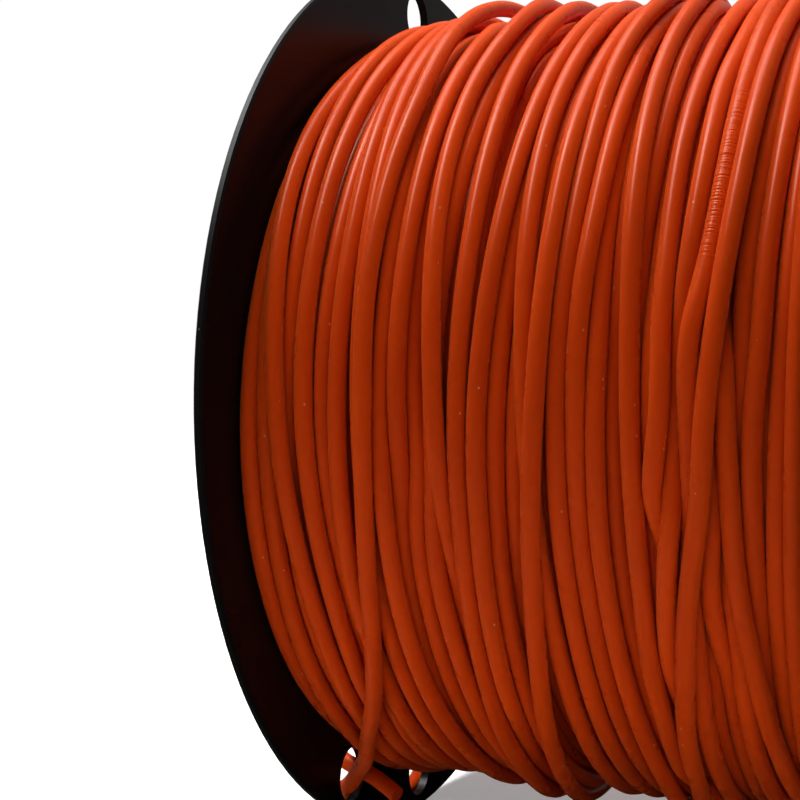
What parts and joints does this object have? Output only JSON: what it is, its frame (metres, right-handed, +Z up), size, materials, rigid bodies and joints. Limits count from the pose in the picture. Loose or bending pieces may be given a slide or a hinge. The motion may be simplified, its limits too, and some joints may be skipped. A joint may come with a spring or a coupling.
{
  "type": "filament spool",
  "caption": "Full spool of thick printing strand: thin round flanges on a barrel, a wound strand between them, its end tucked through a flange hole.",
  "frame": {"origin": "middle of the spool on its axis, halfway between the flanges", "axes": "+X along the spool's axis towards the right flange, +Z up, -Y towards the front; the spool stands on its flange rims"},
  "size_m": [0.1089, 0.165, 0.165],
  "materials": {
    "spool_plastic": "black polystyrene, moulded, satin to glossy",
    "filament": "orange extruded strand, waxy satin"
  },
  "bodies": {
    "root": {"flange_left": "spool_plastic", "flange_right": "spool_plastic", "barrel": "spool_plastic", "filament_core": "filament", "filament_outer_layer": "filament", "filament_tail": "filament", "filament_start": "filament"}
  },
  "joints": []
}
